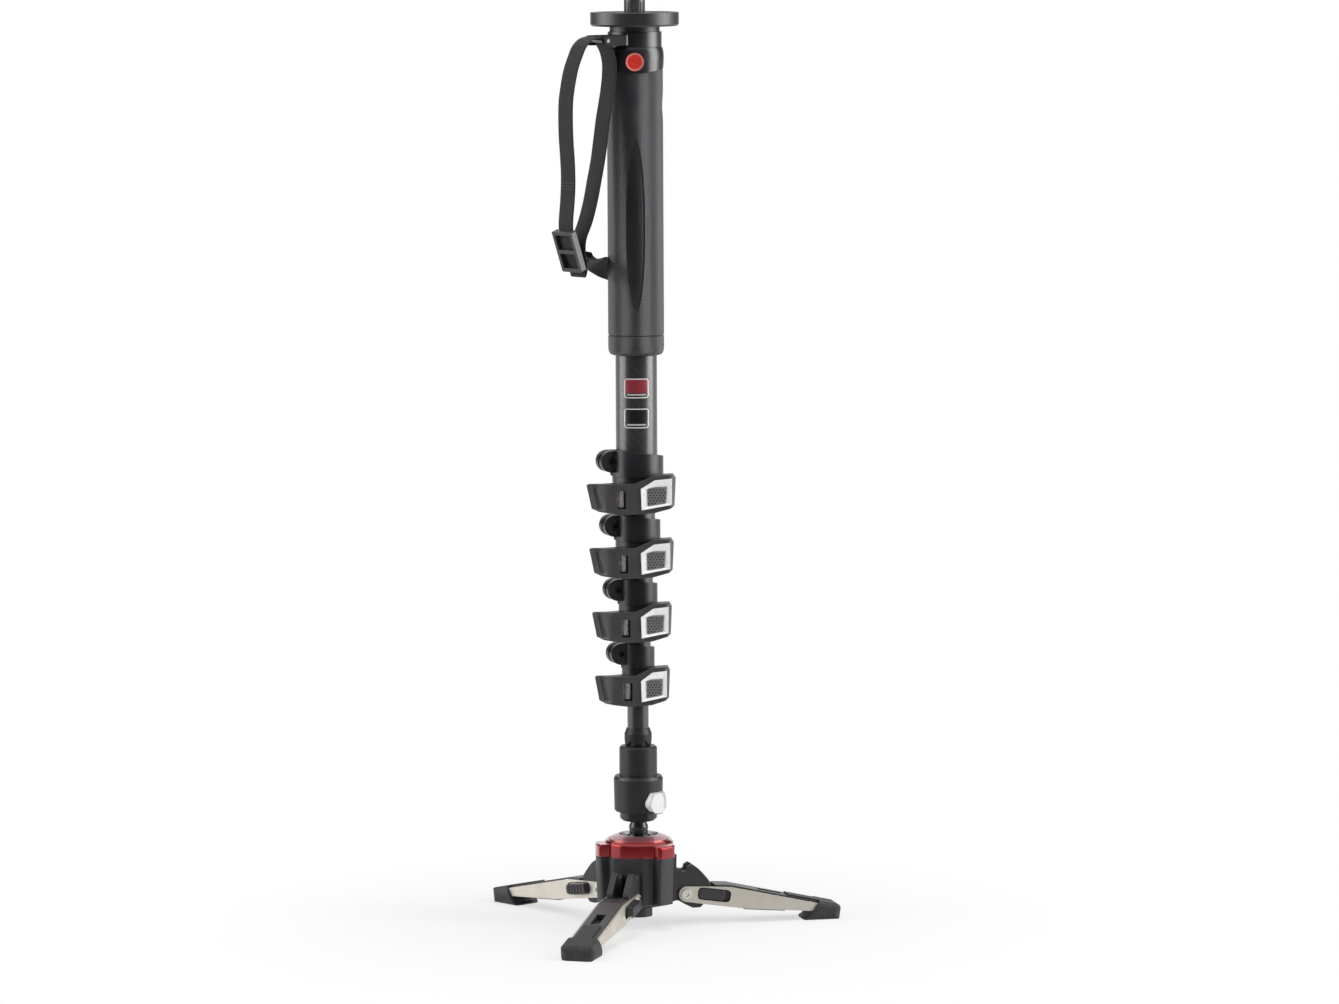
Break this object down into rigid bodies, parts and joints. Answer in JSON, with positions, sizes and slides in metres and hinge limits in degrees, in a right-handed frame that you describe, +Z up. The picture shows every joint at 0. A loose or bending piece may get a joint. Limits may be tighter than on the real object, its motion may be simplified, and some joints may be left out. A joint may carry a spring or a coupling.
{
  "type": "camera monopod",
  "caption": "Telescoping camera monopod with lever locks, grip and wrist strap, on a ball-jointed base with folding legs.",
  "frame": {"origin": "on the floor, under the centre line of the column", "axes": "+Z up along the column, -Y towards the side with the levers and the badge, +X to the right of that side"},
  "size_m": [0.2821, 0.2882, 0.7416],
  "materials": {
    "steel": "zinc plated",
    "polished_steel": "polished, dark",
    "bright_metal": "bright plated",
    "black_aluminium": "black anodised, satin",
    "lock_aluminium": "black coated, satin",
    "hub_aluminium": "black coated, matt",
    "red_aluminium": "red anodised",
    "leg_aluminium": "champagne anodised, matt",
    "carbon": "clear coated carbon fibre look",
    "cap_plastic": "moulded, satin",
    "black_plastic": "moulded, satin",
    "lever_plastic": "moulded, satin",
    "seat_plastic": "plain, low friction",
    "badge_enamel": "plain enamel, no marking",
    "pad_rubber": "dotted, matt",
    "grip_foam": "diamond knurl, matt",
    "foot_rubber": "matt",
    "webbing": "woven, matt"
  },
  "bodies": {
    "hub": {"hub": "hub_aluminium", "red_collar": "red_aluminium", "leg_pins": "steel"},
    "pan_seat": {"pan_cup": "black_aluminium"},
    "tilt_seat": {"tilt_ring": "seat_plastic"},
    "ball_stem": {"ball": "polished_steel", "stem": "black_aluminium"},
    "section_5": {"tube_5": "carbon", "shims_5": "seat_plastic", "column_foot": "black_aluminium", "release_housing": "black_aluminium"},
    "section_4": {"tube_4": "carbon", "shims_4": "seat_plastic", "lock4_collar": "lock_aluminium", "lock4_fasteners": "steel"},
    "section_3": {"tube_3": "carbon", "shims_3": "seat_plastic", "lock3_collar": "lock_aluminium", "lock3_fasteners": "steel"},
    "section_2": {"tube_2": "carbon", "shims_2": "seat_plastic", "lock2_collar": "lock_aluminium", "lock2_fasteners": "steel"},
    "section_1": {"tube_1": "carbon", "lock1_collar": "lock_aluminium", "lock1_fasteners": "steel", "grip_sleeve": "grip_foam", "grip_crown": "black_plastic", "crown_badge": "badge_enamel", "strap_collar": "black_aluminium", "strap_metal": "bright_metal", "wrist_strap": "webbing", "top_disc": "black_aluminium", "camera_stud": "steel"},
    "stud_cap": {"stud_cap": "cap_plastic"},
    "release_button": {"release_button": "bright_metal"},
    "lever_1": {"lock1_lever": "lever_plastic", "lock1_bezel": "bright_metal", "lock1_pad": "pad_rubber"},
    "lever_2": {"lock2_lever": "lever_plastic", "lock2_bezel": "bright_metal", "lock2_pad": "pad_rubber"},
    "lever_3": {"lock3_lever": "lever_plastic", "lock3_bezel": "bright_metal", "lock3_pad": "pad_rubber"},
    "lever_4": {"lock4_lever": "lever_plastic", "lock4_bezel": "bright_metal", "lock4_pad": "pad_rubber"},
    "front_leg": {"front_leg_channel": "leg_aluminium", "front_leg_cover": "black_plastic", "front_leg_foot": "foot_rubber"},
    "front_latch": {"front_leg_latch": "black_plastic"},
    "right_leg": {"right_leg_channel": "leg_aluminium", "right_leg_cover": "black_plastic", "right_leg_foot": "foot_rubber"},
    "right_latch": {"right_leg_latch": "black_plastic"},
    "left_leg": {"left_leg_channel": "leg_aluminium", "left_leg_cover": "black_plastic", "left_leg_foot": "foot_rubber"},
    "left_latch": {"left_leg_latch": "black_plastic"}
  },
  "joints": [
    {"name": "pan", "type": "hinge", "parent": "hub", "child": "pan_seat", "pos_m": [0, 0, 0.0655], "axis": [0, 0, 1], "continuous": true},
    {"name": "tilt_side", "type": "hinge", "parent": "pan_seat", "child": "tilt_seat", "pos_m": [0, 0, 0.0655], "axis": [0, -1, 0], "range_deg": [-15, 15]},
    {"name": "tilt_fore", "type": "hinge", "parent": "tilt_seat", "child": "ball_stem", "pos_m": [0, 0, 0.0655], "axis": [-1, 0, 0], "range_deg": [-15, 15]},
    {"name": "column_release", "type": "slide", "parent": "ball_stem", "child": "section_5", "axis": [0, 0, 1], "range_m": [0, 0.024]},
    {"name": "extend_4", "type": "slide", "parent": "section_5", "child": "section_4", "axis": [0, 0, 1], "range_m": [0, 0.32]},
    {"name": "extend_3", "type": "slide", "parent": "section_4", "child": "section_3", "axis": [0, 0, 1], "range_m": [0, 0.32]},
    {"name": "extend_2", "type": "slide", "parent": "section_3", "child": "section_2", "axis": [0, 0, 1], "range_m": [0, 0.32]},
    {"name": "extend_1", "type": "slide", "parent": "section_2", "child": "section_1", "axis": [0, 0, 1], "range_m": [0, 0.3]},
    {"name": "cap_pull", "type": "slide", "parent": "section_1", "child": "stud_cap", "axis": [0, 0, 1], "range_m": [0, 0.012]},
    {"name": "release_press", "type": "slide", "parent": "section_5", "child": "release_button", "axis": [-0.7431, 0.6691, 0], "range_m": [0, 0.0018], "stiffness_N_per_m": 600, "springref_m": -0.003},
    {"name": "lever_1", "type": "hinge", "parent": "section_1", "child": "lever_1", "pos_m": [0.02421, -0.02105, 0.3465], "axis": [0, 0, 1], "range_deg": [0, 95]},
    {"name": "lever_2", "type": "hinge", "parent": "section_2", "child": "lever_2", "pos_m": [0.02248, -0.01905, 0.2951], "axis": [0, 0, 1], "range_deg": [0, 95]},
    {"name": "lever_3", "type": "hinge", "parent": "section_3", "child": "lever_3", "pos_m": [0.02076, -0.01705, 0.2437], "axis": [0, 0, 1], "range_deg": [0, 95]},
    {"name": "lever_4", "type": "hinge", "parent": "section_4", "child": "lever_4", "pos_m": [0.01904, -0.01505, 0.1923], "axis": [0, 0, 1], "range_deg": [0, 95]},
    {"name": "front_leg_fold", "type": "hinge", "parent": "hub", "child": "front_leg", "pos_m": [-0.01098, -0.03502, 0.0254], "axis": [-0.9542, 0.299, 0], "range_deg": [0, 92]},
    {"name": "front_latch_pull", "type": "slide", "parent": "front_leg", "child": "front_latch", "axis": [-0.2958, -0.944, -0.1461], "range_m": [0, 0.0035], "stiffness_N_per_m": 600, "springref_m": -0.003},
    {"name": "right_leg_fold", "type": "hinge", "parent": "hub", "child": "right_leg", "pos_m": [0.03582, 0.00801, 0.0254], "axis": [0.2181, -0.9759, 0], "range_deg": [0, 92]},
    {"name": "right_latch_pull", "type": "slide", "parent": "right_leg", "child": "right_latch", "axis": [0.9654, 0.2158, -0.1461], "range_m": [0, 0.0035], "stiffness_N_per_m": 600, "springref_m": -0.003},
    {"name": "left_leg_fold", "type": "hinge", "parent": "hub", "child": "left_leg", "pos_m": [-0.02484, 0.02702, 0.0254], "axis": [0.7361, 0.6769, 0], "range_deg": [0, 92]},
    {"name": "left_latch_pull", "type": "slide", "parent": "left_leg", "child": "left_latch", "axis": [-0.6696, 0.7282, -0.1461], "range_m": [0, 0.0035], "stiffness_N_per_m": 600, "springref_m": -0.003}
  ]
}
